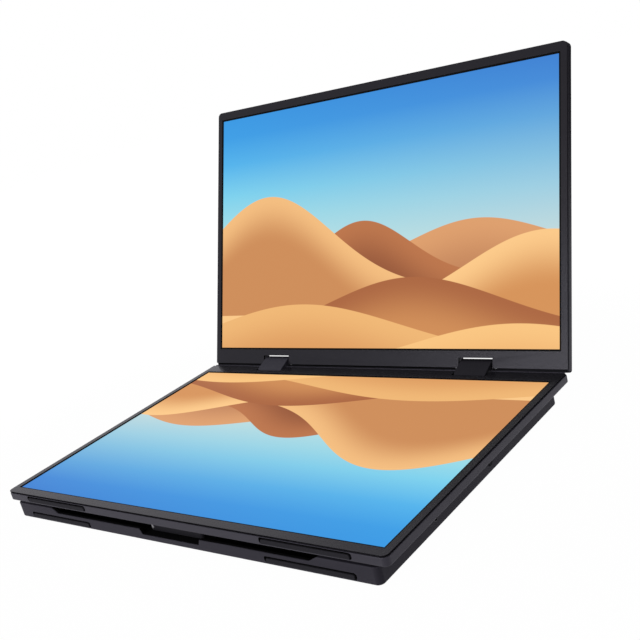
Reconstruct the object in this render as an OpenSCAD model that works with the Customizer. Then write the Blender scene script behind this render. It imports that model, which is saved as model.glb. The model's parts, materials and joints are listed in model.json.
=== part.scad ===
// Folding two-screen laptop extender: two hinged screens on a base that swings out as a leg

/* [Screens] */
// Width of the lit picture, a 16-inch 16:10 panel
screen_w = 344.7; // [300:0.1:400]
// Height of the lit picture
screen_h = 215.4; // [180:0.1:250]
// Housing beyond the picture, left and right
side_border = 6.7; // [6.2:0.1:12]
// Housing beyond the picture, on the edge away from the hinge
far_border = 8.8; // [8.5:0.1:16]
// Housing beyond the picture, on the hinge edge
hinge_border = 16.9; // [16.5:0.1:26]
// Thickness of one screen unit
unit_t = 7.5; // [7.2:0.1:10]
// Plan corner radius of a screen unit
unit_corner = 4; // [3:0.5:10]
// Plan corner radius of a screen at its hinge edge
hinge_corner = 1.8; // [1.4:0.1:4]
// Rounding of the back edges of a screen unit
back_bevel = 1; // [0.5:0.1:1.6]
// Bevel on the housing's edge at the shadow gap
rim_bevel = 0.3; // [0.1:0.05:0.5]
// Floor of a screen housing
floor_t = 1.2; // [1:0.1:1.5]
// Outer wall of a screen housing
wall_t = 1.9; // [1.5:0.1:2.2]
// Height of the shadow gap under the bezel's edge
seam_h = 0.9; // [0.4:0.05:1]
// Depth of that shadow gap
seam_d = 1; // [0.5:0.05:1.05]
// Bezel's edge in from the housing's outline
bezel_inset = 0.15; // [0:0.05:0.4]
// Thickness of the bezel
bezel_t = 0.6; // [0.5:0.05:0.8]
// Housing's lip along the hinge edge
lip_t = 1.2; // [0.9:0.05:1.3]
// Groove between that lip and the bezel
lip_groove = 1.1; // [0.6:0.05:1.3]
// How far the lip stays below the bezel's face
lip_drop = 0.15; // [0.05:0.05:0.4]
// Black border of the display that shows inside the bezel
black_border = 1.5; // [0.5:0.1:2]
// Width of the bezel's hold on the display's edge
display_hold = 0.8; // [0.5:0.1:1.2]
// Thickness of the display cell
display_t = 1; // [0.8:0.1:1.2]
// Thickness of the backlight
backlight_t = 1.8; // [1.5:0.1:2]
// Backlight beyond the display cell, all round
backlight_extra = 0.6; // [0:0.1:1]
// Width of the support frame's bars
frame_bar = 5; // [3:0.5:8]
// Support frame's setback from the backlight's edge
frame_setback = 0.9; // [0.5:0.1:2]

/* [Lid hinge] */
// Opening angle of the upper screen as modelled, 0 being closed
open_angle = 113.2; // [100:0.1:180]
// Part of that angle taken up between the lower screen and the hinge links
link_angle = 68; // [45:0.5:90]
// Gap between the two bezels when closed
close_gap = 1; // [0.8:0.1:2]
// Distance of a hinge cut-out's centre from the middle
link_x = 102.9; // [70:0.1:130]
// Width of a hinge cut-out
cutout_w = 30; // [24:0.5:40]
// Depth of a hinge cut-out from the hinge edge
cutout_d = 10; // [9.6:0.1:10.6]
// Wall around a hinge cut-out
cutout_wall = 1.2; // [1:0.1:1.5]
// Clearance at each end of a hinge link
link_gap = 1.2; // [0.6:0.05:1.6]
// Pin axis from the hinge edge
pin_inset = 2.3; // [2.2:0.05:2.6]
// Radius of the link pins
pin_r = 1.25; // [1:0.05:1.3]
// Radial clearance of a running pin
run_gap = 0.05; // [0.02:0.01:0.1]
// Link's reach in front of the pin axes
link_front = 5.8; // [4.5:0.1:6]
// Link's reach behind the pin axes
link_back = 3; // [2.4:0.1:3.2]
// Link's reach past each pin axis
link_end = 5.8; // [3.4:0.1:5.8]
// Rounding of the link's long edges
link_round = 3.1; // [2.8:0.1:3.2]
// Plan corner radius of a hinge link
link_corner = 2.8; // [1:0.1:3]
// Play of a friction washer between the link and the cut-out's side
washer_play = 0.1; // [0.05:0.05:0.2]
// Radius of a friction washer
washer_r = 2.1; // [1.8:0.1:2.2]
// Thickness of a bracket's ears
ear_t = 2; // [1.5:0.1:3]
// Length of a bracket's foot beside each ear
ear_foot = 9; // [8:0.5:14]
// Thickness of a bracket's foot
foot_t = 1.2; // [0.8:0.1:1.4]

/* [Base] */
// Thickness of the base
base_t = 12; // [11.5:0.1:16]
// Gap between the base and the lower screen
base_gap = 1.3; // [1:0.1:3]
// Setback of the base from the lower screen, left and right
base_inset_x = 8; // [6:0.5:14]
// Setback of the base from the lower screen's hinge edge
base_inset_y = 8; // [7:0.5:12]
// Plan corner radius of the base
base_corner = 4.2; // [4:0.1:12]
// Rounding of the base's lower edges
base_low_bevel = 1.2; // [0.6:0.1:2]
// Bevel on the base's upper edges
base_top_bevel = 0.3; // [0.2:0.1:1.2]
// Bevel along the base's rear upper edge, which the screen's underside sweeps past
swing_bevel = 1; // [0.8:0.1:1.4]
// Floor of the base tray
tray_floor = 1.5; // [1.2:0.1:2]
// Wall of the base tray
tray_wall = 2.6; // [2.4:0.1:3]
// Thickness of the base cover
cover_t = 1.5; // [1.2:0.1:2]
// Joint gap around the base cover
cover_gap = 0.15; // [0.05:0.05:0.3]
// Width of the lowered rim at the base's front edge
relief_w = 242; // [150:1:250]
// How far that rim is lowered
relief_h = 3.6; // [3:0.1:4.6]
// Run of the lowered rim's sloping ends
relief_slope = 7; // [2:0.5:10]
// How far the pocket behind the rim reaches back
relief_d = 26; // [24:0.5:40]
// Width of the finger notch at its floor
notch_w = 54.8; // [30:0.2:80]
// Depth of the finger notch below the rim
notch_h = 4.1; // [2:0.1:4.2]
// Run of the notch's sloping ends
notch_slope = 2; // [1:0.1:6]
// Skin under the pocket and at its ends
relief_skin = 1.3; // [1:0.1:1.5]
// Height left between the catch block and the lower screen's underside
catch_gap = 1.7; // [1.4:0.1:2.5]
// Catch block's front in from the base's front face
catch_set = 6.7; // [6:0.1:8]
// Width of the catch block
catch_w = 51; // [40:0.5:53]
// Depth of the catch block
catch_d = 12; // [10:0.5:13]
// Corner radius of the catch block
catch_corner = 2.4; // [1:0.1:4]

/* [Base hinge] */
// Distance of a base hinge from the middle
arm_x = 145; // [138:0.5:150]
// Width of a base hinge arm
arm_w = 22; // [16:0.5:26]
// Clearance at each end of an arm
arm_gap = 0.4; // [0.3:0.05:0.8]
// Base hinge axis in from the base's rear face
arm_inset = 3.5; // [3.4:0.1:4]
// Base hinge axis below the base's top
arm_drop = 3; // [2.9:0.1:3.4]
// Radius of an arm's knuckle
knuckle_r = 2.8; // [2.4:0.1:2.8]
// Clearance around a knuckle
knuckle_gap = 0.5; // [0.3:0.05:0.8]
// Radius of the base hinge pins
arm_pin_r = 1.5; // [1.2:0.05:1.6]
// Thickness of an arm's neck
arm_neck = 4; // [3:0.1:4.6]

/* [Base fittings] */
// Wall around the base hinge pockets
pocket_wall = 1.6; // [1.2:0.1:2]
// Radius of the screw posts
post_r = 3; // [2.6:0.1:4]
// Depth of the cover's screw bosses
boss_h = 4; // [3:0.1:4.5]
// Radius of the base screws' shanks
screw_r = 1.2; // [1:0.05:1.4]
// Radius of the base screws' heads
screw_head_r = 2.2; // [1.8:0.1:2.4]
// Height of the base screws' heads
screw_head_h = 1.4; // [1:0.1:1.8]
// Clearance around the screws
screw_gap = 0.1; // [0.05:0.05:0.2]
// Thickness of the circuit boards
board_t = 1.6; // [1.2:0.1:2]
// Height of the posts under the circuit boards
board_post_h = 1.3; // [1:0.1:2]
// Length of the control board
board_w = 150; // [120:1:200]
// Depth of the control board
board_d = 88; // [84:1:100]
// Width of the side board
side_board_w = 22; // [18:0.5:28]
// Depth of the side board
side_board_d = 92; // [84:1:100]
// Width of a USB-C socket
usb_w = 8.9; // [8.4:0.1:9.2]
// Height of a USB-C socket
usb_h = 3.2; // [3:0.1:3.4]
// Depth of a USB-C socket
usb_d = 7.3; // [6:0.1:9]
// Width of the mini HDMI socket
hdmi_w = 11.2; // [10.8:0.1:12]
// Height of the mini HDMI socket
hdmi_h = 3.2; // [3:0.1:3.6]
// Depth of the mini HDMI socket
hdmi_d = 8; // [6:0.1:10]
// Shell thickness of the sockets
socket_shell = 0.4; // [0.3:0.05:0.5]
// Distance between neighbouring sockets
socket_pitch = 20; // [16:0.5:24]
// Clearance around sockets and buttons in the wall
port_gap = 0.15; // [0.1:0.05:0.3]
// Bore radius of the headphone jack
jack_r = 1.8; // [1.75:0.05:2]
// Radius of the jack's collar
jack_collar_r = 2.6; // [2.4:0.1:2.8]
// Length of the jack's body
jack_d = 13; // [11:0.5:16]
// Height and width of the jack's body
jack_h = 5.4; // [5.2:0.1:6]
// Place of the headphone jack along the right side
jack_y = -55; // [-60:0.5:-50]
// Place of the menu button along the right side
menu_y = 14; // [8:0.5:20]
// Radius of the button caps
button_r = 2.4; // [2:0.1:2.6]
// Length of a button's flange, beyond the cap's radius
button_flange = 0.8; // [0.5:0.1:1]
// How far a button stands out of the wall
button_proud = 0.7; // [0.6:0.1:1.2]
// Travel of a button
button_travel = 0.4; // [0.3:0.05:0.5]
// Edge length of a button's switch
switch_w = 5.2; // [4.8:0.1:6]
// Length of the rubber feet on the front edges
foot_w = 67.4; // [50:0.2:80]
// Height of the rubber feet
foot_h = 2.9; // [2.6:0.1:3]
// Distance of a rubber foot's centre from the middle
foot_x = 119.6; // [100:0.1:125]
// How far the rubber feet stand out
foot_proud = 0.5; // [0.4:0.05:1.2]
// Depth of the rubber feet's pockets
foot_seat = 0.9; // [0.5:0.05:1]
// Gap over a rubber foot, on the side of the screen's face
foot_gap_top = 1.3; // [0.3:0.05:1.4]
// Gap under a rubber foot
foot_gap_low = 0.3; // [0.1:0.05:0.4]
// Gap at each end of a rubber foot
foot_gap_end = 1.4; // [0.3:0.05:2]
// Rubber foot's centre line below the middle of a screen unit
screen_foot_drop = 0.75; // [0.6:0.05:0.8]
// Height of the base foot's centre line
base_foot_z = 3.2; // [3:0.05:4.5]
// Gap around the underside pads
pad_gap = 0.25; // [0.1:0.05:0.4]
// Size of the pads in the underside
pad_w = 60; // [40:1:80]
// Depth of the pads in the underside
pad_d = 8; // [6:0.5:12]
// Thickness of the pads in the underside
pad_t = 0.8; // [0.5:0.1:1]
// Radius of the bumpers between the base and the lower screen
bumper_r = 4; // [3:0.5:6]
// Clearance over the bumpers
bumper_gap = 0.1; // [0.05:0.05:0.3]
// Width of a speaker
speaker_w = 42; // [30:1:50]
// Depth of a speaker
speaker_d = 20; // [16:1:24]
// Height of a speaker
speaker_h = 6; // [4:0.5:7]
// Number of sound slots under each speaker
slot_count = 8; // [4:1:10]
// Width of a sound slot
slot_w = 1.4; // [1:0.1:2]
// Length of a sound slot
slot_l = 14; // [8:1:15]

/* [Hidden] */
$fn = 48;
hull_fn = 32;

// a cut runs this far past the face that it opens
past = 1;
sides = [-1, 1];

// screen unit, in its own frame: pin axis at the origin, +Y away from the hinge, +Z out of the face
unit_w = screen_w + 2 * side_border;
unit_d = screen_h + far_border + hinge_border;
half_t = unit_t / 2;
hinge_edge = -pin_inset;
far_edge = unit_d - pin_inset;
mid_y = (hinge_edge + far_edge) / 2;
picture_y = hinge_edge + hinge_border + screen_h / 2;
rim_top = unit_t - bezel_t - seam_h;
bezel_under = half_t - bezel_t;
display_margin = black_border + display_hold;
display_under = bezel_under - display_t;
backlight_margin = display_margin + backlight_extra;
backlight_under = display_under - backlight_t;
floor_top = floor_t - half_t;
frame_margin = backlight_margin - frame_setback;
cutout_end = hinge_edge + cutout_d;

// lid hinge
link_reach = unit_t + close_gap;
link_w = cutout_w - 2 * link_gap;
washer_t = link_gap - washer_play;
ear_x = cutout_w / 2 + cutout_wall;
ear_clear = 0.3;
ear_top = bezel_under - ear_clear;
pin_head = 0.3;
hinge_pin_l = 2 * (ear_x + ear_t + pin_head);
bore_extra = 0.4;
bracket_y = cutout_end + cutout_wall;
strip_d = 1.5;
ledge_d = 3;
ledge_t = 1;
bracket_reach = ear_x + ear_t + 1;
bracket_screw_r = 0.9;
bracket_head_r = 1.6;
bracket_head_h = 0.5;
bracket_screw_x = ear_x + ear_t + ear_foot / 2;
bracket_screw_y = bracket_y - 2.5;
screw_bite = 0.8;

// base
base_w = unit_w - 2 * base_inset_x;
base_d = unit_d - base_inset_y;
base_front = -base_d / 2;
base_rear = base_d / 2;
cover_under = base_t - cover_t;
cover_inset = tray_wall;
tray_in_w = base_w - 2 * tray_wall;
relief_z = base_t - relief_h;
notch_z = relief_z - notch_h;
relief_pan_w = relief_w + 2 * relief_slope + 2 * relief_skin;
board_under = tray_floor + board_post_h;
board_top = board_under + board_t;
board_post_r = 2.5;
board_edge_gap = 1.6;
board_left = -base_w / 2 + tray_wall + board_edge_gap;
board_y = 0;
side_board_right = base_w / 2 - tray_wall - board_edge_gap;
side_board_y = (jack_y + menu_y) / 2;
button_z = board_top + switch_w / 2;
jack_z = board_top + jack_h / 2;
power_y = 32;
port_y = -28;
arm_y = base_rear - arm_inset;
arm_z = base_t - arm_drop;
pocket_w = arm_w + 2 * arm_gap;
pocket_front = arm_y - knuckle_r - knuckle_gap;
pocket_floor = arm_z - knuckle_r - knuckle_gap;
arm_ear_x = pocket_w / 2 + pocket_wall;
arm_pin_l = 2 * (arm_ear_x + ear_t + pin_head);
post_places = [[-0.44, -0.36], [0.44, -0.36], [-0.44, 0.33], [0.44, 0.33],
               [0, 0.44], [0, -0.25], [-0.22, 0.44], [0.22, 0.44]];
pad_places = [[-0.36, -0.43], [0.36, -0.43], [-0.36, 0.42], [0.36, 0.42]];
bumper_places = [[-0.45, -0.43], [0.45, -0.43], [-0.3, 0.4], [0.3, 0.4]];

// where the two screens sit
pin_y = base_front + far_edge;
pin_z = base_t + base_gap + half_t;
lid_y = pin_y + link_reach * sin(link_angle);
lid_z = pin_z + link_reach * cos(link_angle);

module place_lower() { translate([0, pin_y, pin_z]) rotate([0, 0, 180]) children(); }
module place_upper() { translate([0, lid_y, lid_z]) rotate([180 - open_angle, 0, 0]) children(); }

// rounded rectangle about the origin
module plate2d(w, d, r) {
    square([w - 2 * r, d], center = true);
    square([w, d - 2 * r], center = true);
    for (sx = sides, sy = sides) translate([sx * (w / 2 - r), sy * (d / 2 - r)]) circle(r);
}

// the same, with other corners on its -Y side
module plate2r(w, d, r, near_r) {
    plate2d(w, d, r);
    translate([-w / 2, near_r - d / 2]) square([w, r]);
    translate([near_r - w / 2, -d / 2]) square([w - 2 * near_r, r]);
    for (sx = sides) translate([sx * (w / 2 - near_r), near_r - d / 2]) circle(near_r);
}

module block(w, d, h, at) { translate([at[0] - w / 2, at[1] - d / 2, at[2]]) cube([w, d, h]); }

// cylinder along X, centred at a point
module rod_x(r, l, at) { translate(at) rotate([0, 90, 0]) cylinder(r = r, h = l, center = true); }

// setback of a round edge at half its turn, as a part of its radius
arc_in = 0.29;

// slab with round lower and bevelled upper edges, standing on z = 0; the corners on its -Y side have near_r
module soft_slab(w, d, t, r, near_r, low, top) {
    least_r = 1;
    arc = arc_in * low;
    hull($fn = hull_fn) {
        linear_extrude(t - top)
            plate2r(w - 2 * low, d - 2 * low, max(r - low, least_r), max(near_r - low, least_r));
        translate([0, 0, arc]) linear_extrude(t - low - top)
            plate2r(w - 2 * arc, d - 2 * arc, r - arc, near_r - arc);
        translate([0, 0, low]) linear_extrude(t - low - top) plate2r(w, d, r, near_r);
        translate([0, 0, low]) linear_extrude(t - low)
            plate2r(w - 2 * top, d - 2 * top, max(r - top, least_r), max(near_r - top, least_r));
    }
}

// rubber foot that lies in an XZ face, from y = 0 towards +Y
module foot_strip(d) {
    translate([0, d, 0]) rotate([90, 0, 0]) linear_extrude(d) plate2d(foot_w, foot_h, foot_h * 0.4);
}

// its pocket, with the wide gap towards +Z
module foot_pocket(d) {
    h = foot_h + foot_gap_top + foot_gap_low;
    translate([0, d, (foot_gap_top - foot_gap_low) / 2]) rotate([90, 0, 0]) linear_extrude(d)
        plate2d(foot_w + 2 * foot_gap_end, h, h * 0.4);
}

// ---- pieces that both screen units share ----

module unit_outline(inset) {
    least_r = 0.3;
    translate([0, mid_y]) plate2r(unit_w - 2 * inset, unit_d - 2 * inset, unit_corner - inset,
                                  max(hinge_corner - inset, least_r));
}

module at_cutouts() { for (s = sides) translate([s * link_x, 0, 0]) children(); }

module cutout_space(w) {
    translate([-w / 2, hinge_edge - past, -half_t - past]) cube([w, cutout_d + past, unit_t + 2 * past]);
}

// ledge that carries the bezel behind the lip, clear of the hinge brackets
module bezel_ledge() {
    difference() {
        block(unit_w - 2 * unit_corner, ledge_d, ledge_t,
              [0, hinge_edge + seam_d + ledge_d / 2, bezel_under - ledge_t]);
        at_cutouts() block(2 * bracket_reach, 2 * (seam_d + ledge_d), unit_t, [0, hinge_edge, 0]);
    }
}

module unit_housing() {
    difference() {
        union() {
            translate([0, mid_y, -half_t])
                soft_slab(unit_w, unit_d, rim_top, unit_corner, hinge_corner, back_bevel, rim_bevel);
            translate([0, 0, floor_top]) linear_extrude(bezel_under - floor_top) unit_outline(seam_d);
            block(unit_w - 2 * hinge_corner, lip_t, half_t - lip_drop, [0, hinge_edge + lip_t / 2, 0]);
        }
        difference() {
            translate([0, 0, floor_top]) linear_extrude(unit_t) unit_outline(wall_t);
            bezel_ledge();
            at_cutouts() block(cutout_w + 2 * cutout_wall, cutout_d + cutout_wall,
                               bezel_under + half_t, [0, hinge_edge + (cutout_d + cutout_wall) / 2, -half_t]);
            for (sx = sides, sy = sides)
                translate([sx * panel_board_w * 0.42, panel_board_y + sy * panel_board_d * 0.3, -half_t])
                    cylinder(r = board_post_r, h = floor_t + panel_post_h);
        }
        at_cutouts() {
            cutout_space(cutout_w);
            rod_x(pin_r + run_gap, hinge_pin_l + bore_extra, [0, 0, 0]);
            for (s = sides) translate([s * bracket_screw_x, bracket_screw_y, floor_top - screw_bite])
                cylinder(r = bracket_screw_r, h = screw_bite + past);
        }
        for (s = sides) translate([s * foot_x, far_edge - foot_seat, -screen_foot_drop])
            foot_pocket(foot_seat + past);
    }
}

module unit_bezel() {
    difference() {
        translate([0, 0, bezel_under]) linear_extrude(bezel_t) unit_outline(bezel_inset);
        block(unit_w, 2 * (lip_t + lip_groove), 3 * past, [0, hinge_edge, bezel_under - past]);
        block(screen_w + 2 * black_border, screen_h + 2 * black_border, bezel_t + 2 * past,
              [0, picture_y, bezel_under - past]);
        at_cutouts() cutout_space(cutout_w);
    }
}

module unit_sheet(margin, h, under) {
    block(screen_w + 2 * margin, screen_h + 2 * margin, h, [0, picture_y, under]);
}

module unit_frame() {
    frame_h = backlight_under - floor_top;
    difference() {
        unit_sheet(frame_margin, frame_h, floor_top);
        for (s = sides) {
            w = (screen_w + 2 * frame_margin - 3 * frame_bar) / 2;
            block(w, screen_h + 2 * frame_margin - 2 * frame_bar, frame_h + 2 * past,
                  [s * (w + frame_bar) / 2, picture_y, floor_top - past]);
        }
        // way for the ribbon and the board over the middle bar's foot
        block(panel_board_w + 4, panel_board_d + 4, panel_post_h + panel_board_t + past,
              [0, panel_board_y, floor_top - past + 0.6]);
        block(ribbon_w + 2, ribbon_run, 2 * past, [ribbon_x, ribbon_y, floor_top - past]);
    }
}

panel_board_w = 170;
panel_board_d = 22;
panel_chip_w = 12;
panel_chip_d = 9;
panel_chip_h = 0.7;
panel_board_t = 1;
panel_post_h = 0.5;
panel_board_y = picture_y - screen_h / 2 + frame_bar + 16;
ribbon_w = 14;
ribbon_t = 0.3;
ribbon_x = panel_board_w * 0.35;
ribbon_end = hinge_edge + wall_t + 1;
ribbon_run = panel_board_y - panel_board_d / 2 + 4 - ribbon_end;
ribbon_y = ribbon_end + ribbon_run / 2;

module unit_panel_board() {
    board_z = floor_top + panel_post_h;
    difference() {
        union() {
            block(panel_board_w, panel_board_d, panel_board_t, [0, panel_board_y, board_z]);
            for (x = [-0.35, -0.12, 0.15, 0.36])
                block(panel_chip_w, panel_chip_d, panel_chip_h,
                      [x * panel_board_w, panel_board_y, board_z + panel_board_t]);
        }
        block(frame_bar + 1, panel_board_d + 2, 1, [0, panel_board_y, board_z + panel_board_t]);
    }
}

module unit_ribbon() {
    block(ribbon_w, ribbon_run, ribbon_t, [ribbon_x, ribbon_y, floor_top]);
}

magnet_w = 24;
magnet_d = 3;
magnet_h = 2;
magnet_x = 70;
magnet_gap = 0.2;

module unit_magnets() {
    for (s = sides)
        block(magnet_w, magnet_d, magnet_h,
              [s * magnet_x, far_edge - wall_t - magnet_d / 2 - magnet_gap, floor_top]);
}

module unit_feet() {
    for (s = sides) translate([s * foot_x, far_edge - foot_seat, -screen_foot_drop])
        foot_strip(foot_seat + foot_proud);
}

module unit_brackets() {
    foot_y = bracket_y - ear_foot_d;
    at_cutouts() difference() {
        union() {
            for (s = sides) {
                translate([s * (ear_x + ear_t / 2) - ear_t / 2, hinge_edge + wall_t, floor_top])
                    cube([ear_t, bracket_y - hinge_edge - wall_t, ear_top - floor_top]);
                translate([s * (ear_x + (ear_t + ear_foot) / 2) - (ear_t + ear_foot) / 2, foot_y, floor_top])
                    cube([ear_t + ear_foot, ear_foot_d, foot_t]);
            }
            block(2 * (ear_x + ear_t), strip_d, ear_top - floor_top, [0, bracket_y + strip_d / 2, floor_top]);
        }
        rod_x(pin_r, 2 * (ear_x + ear_t + past), [0, 0, 0]);
        for (s = sides) translate([s * bracket_screw_x, bracket_screw_y, floor_top - past])
            cylinder(r = bracket_screw_r, h = foot_t + 2 * past);
    }
}

ear_foot_d = 6;

module unit_pins() {
    at_cutouts() rod_x(pin_r, hinge_pin_l, [0, 0, 0]);
}

module unit_washers() {
    at_cutouts() for (s = sides) difference() {
        rod_x(washer_r, washer_t, [s * (cutout_w / 2 - link_gap / 2), 0, 0]);
        rod_x(pin_r, washer_t + 2 * past, [s * (cutout_w / 2 - link_gap / 2), 0, 0]);
    }
}

module flat_screw(r, bite, head_r, head_h) {
    translate([0, 0, -bite]) cylinder(r = r, h = bite);
    cylinder(r = head_r, h = head_h);
}

module unit_screws() {
    at_cutouts() for (s = sides)
        translate([s * bracket_screw_x, bracket_screw_y, floor_top + foot_t])
            flat_screw(bracket_screw_r, foot_t + screw_bite, bracket_head_r, bracket_head_h);
}

// ---- lower screen ----

module lower_housing() {
    color("#3c3d42") difference() {
        place_lower() unit_housing();
        for (s = sides) {
            block(arm_w + 2 * cover_gap, arm_neck + 2 * cover_gap, 2 * floor_t + past,
                  [s * arm_x, arm_y, base_t + base_gap - past]);
            for (t = sides)
                translate([s * arm_x + t * arm_screw_x, arm_screw_y, arm_foot_z - screw_bite])
                    cylinder(r = bracket_screw_r, h = screw_bite + past);
        }
    }
}

module lower_bezel() { color("#37373a") place_lower() unit_bezel(); }
module lower_display() { color("#d89a5c") place_lower() unit_sheet(display_margin, display_t, display_under); }
module lower_backlight() {
    color("#d8dade") place_lower() unit_sheet(backlight_margin, backlight_t, backlight_under);
}
module lower_frame() { color("#8a8d91") place_lower() unit_frame(); }
module lower_panel_board() { color("#1f5c38") place_lower() unit_panel_board(); }
module lower_ribbon() { color("#b08040") place_lower() unit_ribbon(); }
module lower_magnets() { color("#b9bcc0") place_lower() unit_magnets(); }
module lower_feet() { color("#1d1d1f") place_lower() unit_feet(); }
module lower_hinge_brackets() { color("#9a9ca0") place_lower() unit_brackets(); }
module lower_hinge_pins() { color("#c5c7ca") place_lower() unit_pins(); }
module lower_washers() { color("#a8a59c") place_lower() unit_washers(); }
module lower_bracket_screws() { color("#8f9094") place_lower() unit_screws(); }

// arms that carry the lower screen on the base's rear edge
arm_foot_z = base_t + base_gap + floor_t;
arm_foot_d = 11;
arm_foot_y = arm_y - arm_neck / 2 + arm_foot_d / 2;
arm_screw_x = arm_w / 2 - 4;
arm_screw_y = arm_foot_y + 3;

module base_hinge_arms() {
    color("#8c8e92") for (s = sides) translate([s * arm_x, 0, 0]) difference() {
        union() {
            rod_x(knuckle_r, arm_w, [0, arm_y, arm_z]);
            block(arm_w, arm_neck, arm_foot_z - arm_z + foot_t, [0, arm_y, arm_z]);
            block(arm_w, arm_foot_d, foot_t, [0, arm_foot_y, arm_foot_z]);
        }
        rod_x(arm_pin_r + run_gap, arm_w + 2 * past, [0, arm_y, arm_z]);
        for (t = sides) translate([t * arm_screw_x, arm_screw_y, arm_foot_z - past])
            cylinder(r = bracket_screw_r, h = foot_t + 2 * past);
    }
}

module arm_screws() {
    color("#8f9094") for (s = sides, t = sides)
        translate([s * arm_x + t * arm_screw_x, arm_screw_y, arm_foot_z + foot_t])
            flat_screw(bracket_screw_r, foot_t + screw_bite, bracket_head_r, bracket_head_h);
}

// ---- hinge links ----

// link profile in its own frame: first pin at the origin, second pin at [0, link_reach], front at -X
module link_profile() {
    translate([(link_back - link_front) / 2, link_reach / 2])
        plate2d(link_front + link_back, link_reach + 2 * link_end, link_round);
}

module hinge_link(s) {
    reach = link_reach + 2 * link_end;
    translate([s * link_x, pin_y, pin_z]) rotate([-link_angle, 0, 0]) difference() {
        intersection() {
            translate([-link_w / 2, 0, 0]) rotate([90, 0, 90]) linear_extrude(link_w) link_profile();
            translate([0, link_back + past, link_reach / 2]) rotate([90, 0, 0])
                linear_extrude(link_front + link_back + 2 * past) plate2d(link_w, reach, link_corner);
        }
        rod_x(pin_r + run_gap, link_w + 2 * past, [0, 0, 0]);
        rod_x(pin_r + run_gap, link_w + 2 * past, [0, 0, link_reach]);
    }
}

module left_hinge_link() { color("#38383b") hinge_link(-1); }
module right_hinge_link() { color("#2a2a2c") hinge_link(1); }

// ---- upper screen ----

module upper_housing() { color("#3c3d42") place_upper() unit_housing(); }
module upper_bezel() { color("#37373a") place_upper() unit_bezel(); }
module upper_display() { color("#4c94dc") place_upper() unit_sheet(display_margin, display_t, display_under); }
module upper_backlight() {
    color("#d8dade") place_upper() unit_sheet(backlight_margin, backlight_t, backlight_under);
}
module upper_frame() { color("#8a8d91") place_upper() unit_frame(); }
module upper_panel_board() { color("#1f5c38") place_upper() unit_panel_board(); }
module upper_ribbon() { color("#b08040") place_upper() unit_ribbon(); }
module upper_magnets() { color("#b9bcc0") place_upper() unit_magnets(); }
module upper_feet() { color("#1d1d1f") place_upper() unit_feet(); }
module upper_hinge_brackets() { color("#9a9ca0") place_upper() unit_brackets(); }
module upper_hinge_pins() { color("#c5c7ca") place_upper() unit_pins(); }
module upper_washers() { color("#a8a59c") place_upper() unit_washers(); }
module upper_bracket_screws() { color("#8f9094") place_upper() unit_screws(); }

// ---- base ----

// opening with sloping ends, its floor on z = 0, running back from the base's front face
module sloped_opening(w, slope, h, d) {
    translate([0, d, 0]) rotate([90, 0, 0]) linear_extrude(d)
        polygon([[-w / 2, 0], [w / 2, 0], [w / 2 + slope, h], [-w / 2 - slope, h]]);
}

// pocket behind the lowered rim, grown by a skin
module front_pocket(skin) {
    w = relief_w + 2 * relief_slope + 2 * skin;
    block(w, relief_d - tray_wall + 2 * skin, base_t,
          [0, base_front + (relief_d + tray_wall) / 2, notch_z - skin]);
}

module at_places(places) {
    for (p = places) translate([p[0] * base_w, p[1] * base_d, 0]) children();
}

module base_tray() {
    color("#2c2d31") difference() {
        union() {
            difference() {
                soft_slab(base_w, base_d, base_t, base_corner, base_corner, base_low_bevel, base_top_bevel);
                translate([0, 0, tray_floor]) linear_extrude(base_t)
                    plate2d(tray_in_w, base_d - 2 * tray_wall, base_corner - tray_wall);
            }
            intersection() {
                front_pocket(relief_skin);
                block(base_w, base_d, cover_under, [0, 0, 0]);
            }
            for (s = sides)
                block(pocket_w + 2 * pocket_wall, base_rear - tray_wall / 2 - pocket_front + pocket_wall,
                      cover_under - tray_floor + past,
                      [s * arm_x, (base_rear - tray_wall / 2 + pocket_front - pocket_wall) / 2,
                       tray_floor - past]);
            at_places(post_places) translate([0, 0, tray_floor - past])
                cylinder(r = post_r, h = cover_under - boss_h - tray_floor + past);
            for (p = board_post_places) translate([p[0], p[1], tray_floor - past])
                cylinder(r = board_post_r, h = board_post_h + past);
        }
        front_pocket(0);
        translate([0, base_rear, base_t]) rotate([45, 0, 0])
            cube([base_w + 2 * past, sqrt(2) * swing_bevel, sqrt(2) * swing_bevel], center = true);
        translate([0, base_front - past, relief_z])
            sloped_opening(relief_w, relief_slope, relief_h, tray_wall + 2 * past);
        translate([0, base_front - past, notch_z])
            sloped_opening(notch_w, notch_slope, notch_h, tray_wall + 2 * past);
        for (s = sides) {
            translate([s * arm_x - pocket_w / 2, pocket_front, pocket_floor])
                cube([pocket_w, base_rear - pocket_front + past, base_t]);
            rod_x(arm_pin_r + run_gap, arm_pin_l + bore_extra, [s * arm_x, arm_y, arm_z]);
            translate([s * foot_x, base_front - past, base_foot_z]) foot_pocket(foot_seat + past);
        }
        at_places(post_places) {
            translate([0, 0, -past]) cylinder(r = screw_r + screw_gap, h = base_t);
            translate([0, 0, -past])
                cylinder(r = screw_head_r + screw_gap, h = screw_head_h + screw_sink + past);
        }
        at_places(pad_places) translate([0, 0, -past]) linear_extrude(pad_t + past)
            plate2d(pad_w + 2 * pad_gap, pad_d + 2 * pad_gap, 2);
        for (s = sides, i = [0:slot_count - 1])
            translate([s * speaker_x + (i - (slot_count - 1) / 2) * slot_pitch, speaker_y, -past])
                linear_extrude(tray_floor + 2 * past) plate2d(slot_w, slot_l, slot_w / 2 - 0.01);
        side_holes();
    }
}

screw_sink = 0.4;
slot_pitch = 3.6;
speaker_x = 95;
speaker_gap = 6;
speaker_y = board_y - board_d / 2 - speaker_d / 2 - speaker_gap;

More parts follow.
